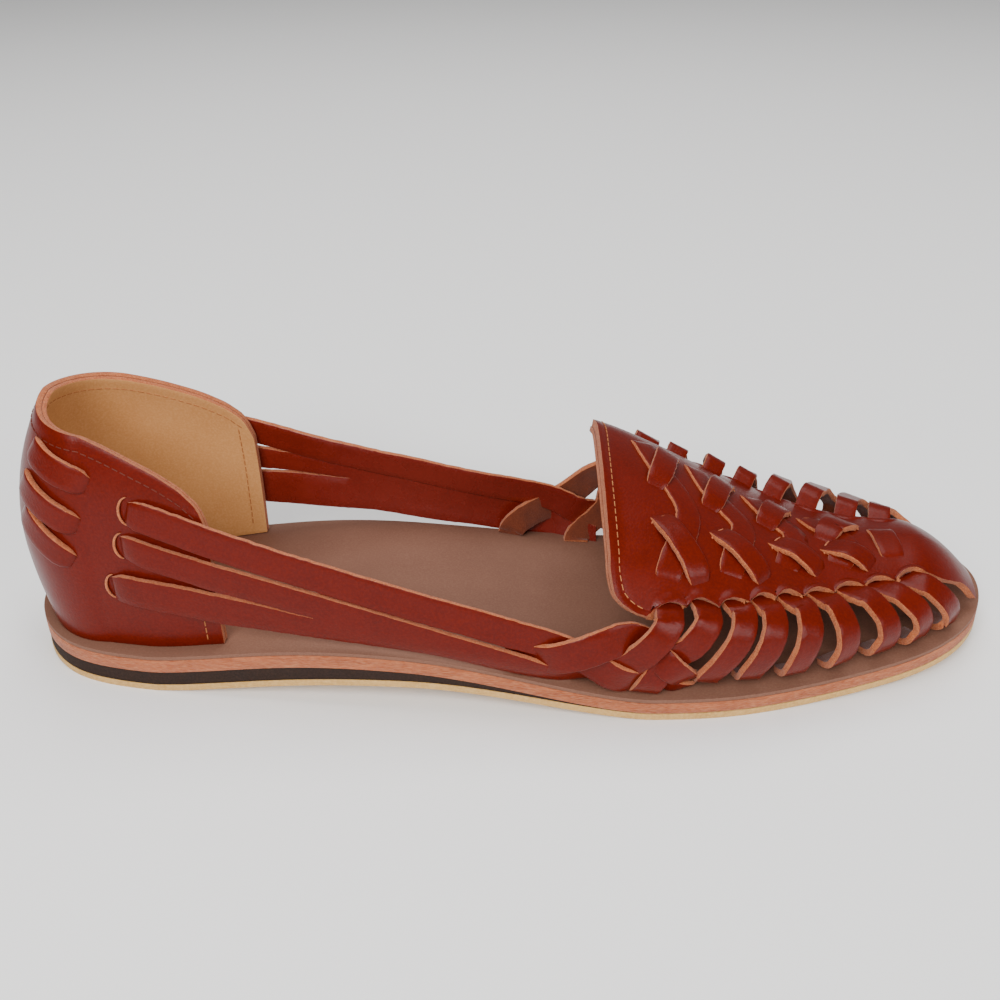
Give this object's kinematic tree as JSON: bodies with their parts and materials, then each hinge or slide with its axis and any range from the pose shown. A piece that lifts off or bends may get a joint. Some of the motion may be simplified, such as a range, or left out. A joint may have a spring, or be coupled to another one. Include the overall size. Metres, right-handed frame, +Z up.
{
  "type": "huarache sandal",
  "caption": "Flat leather huarache sandal, right shoe: woven strap vamp with side thongs, long side straps, a closed heel counter and a thin layered sole.",
  "frame": {"origin": "under the middle of the whole shoe, on the floor plane", "axes": "+X towards the toe, +Y towards the inner side of the foot, +Z up"},
  "size_m": [0.2624, 0.0856, 0.0735],
  "materials": {
    "outsole": "matte amber crepe",
    "heel_wedge": "matte dark brown",
    "midsole": "raw cut edge",
    "insole": "smooth matte",
    "counter_leather": "polished red-brown",
    "strap_leather": "polished red-brown"
  },
  "bodies": {
    "root": {"outsole": "outsole", "heel_wedge": "heel_wedge", "midsole": "midsole", "insole": "insole", "heel_counter": "counter_leather", "upper": "strap_leather"}
  },
  "joints": []
}
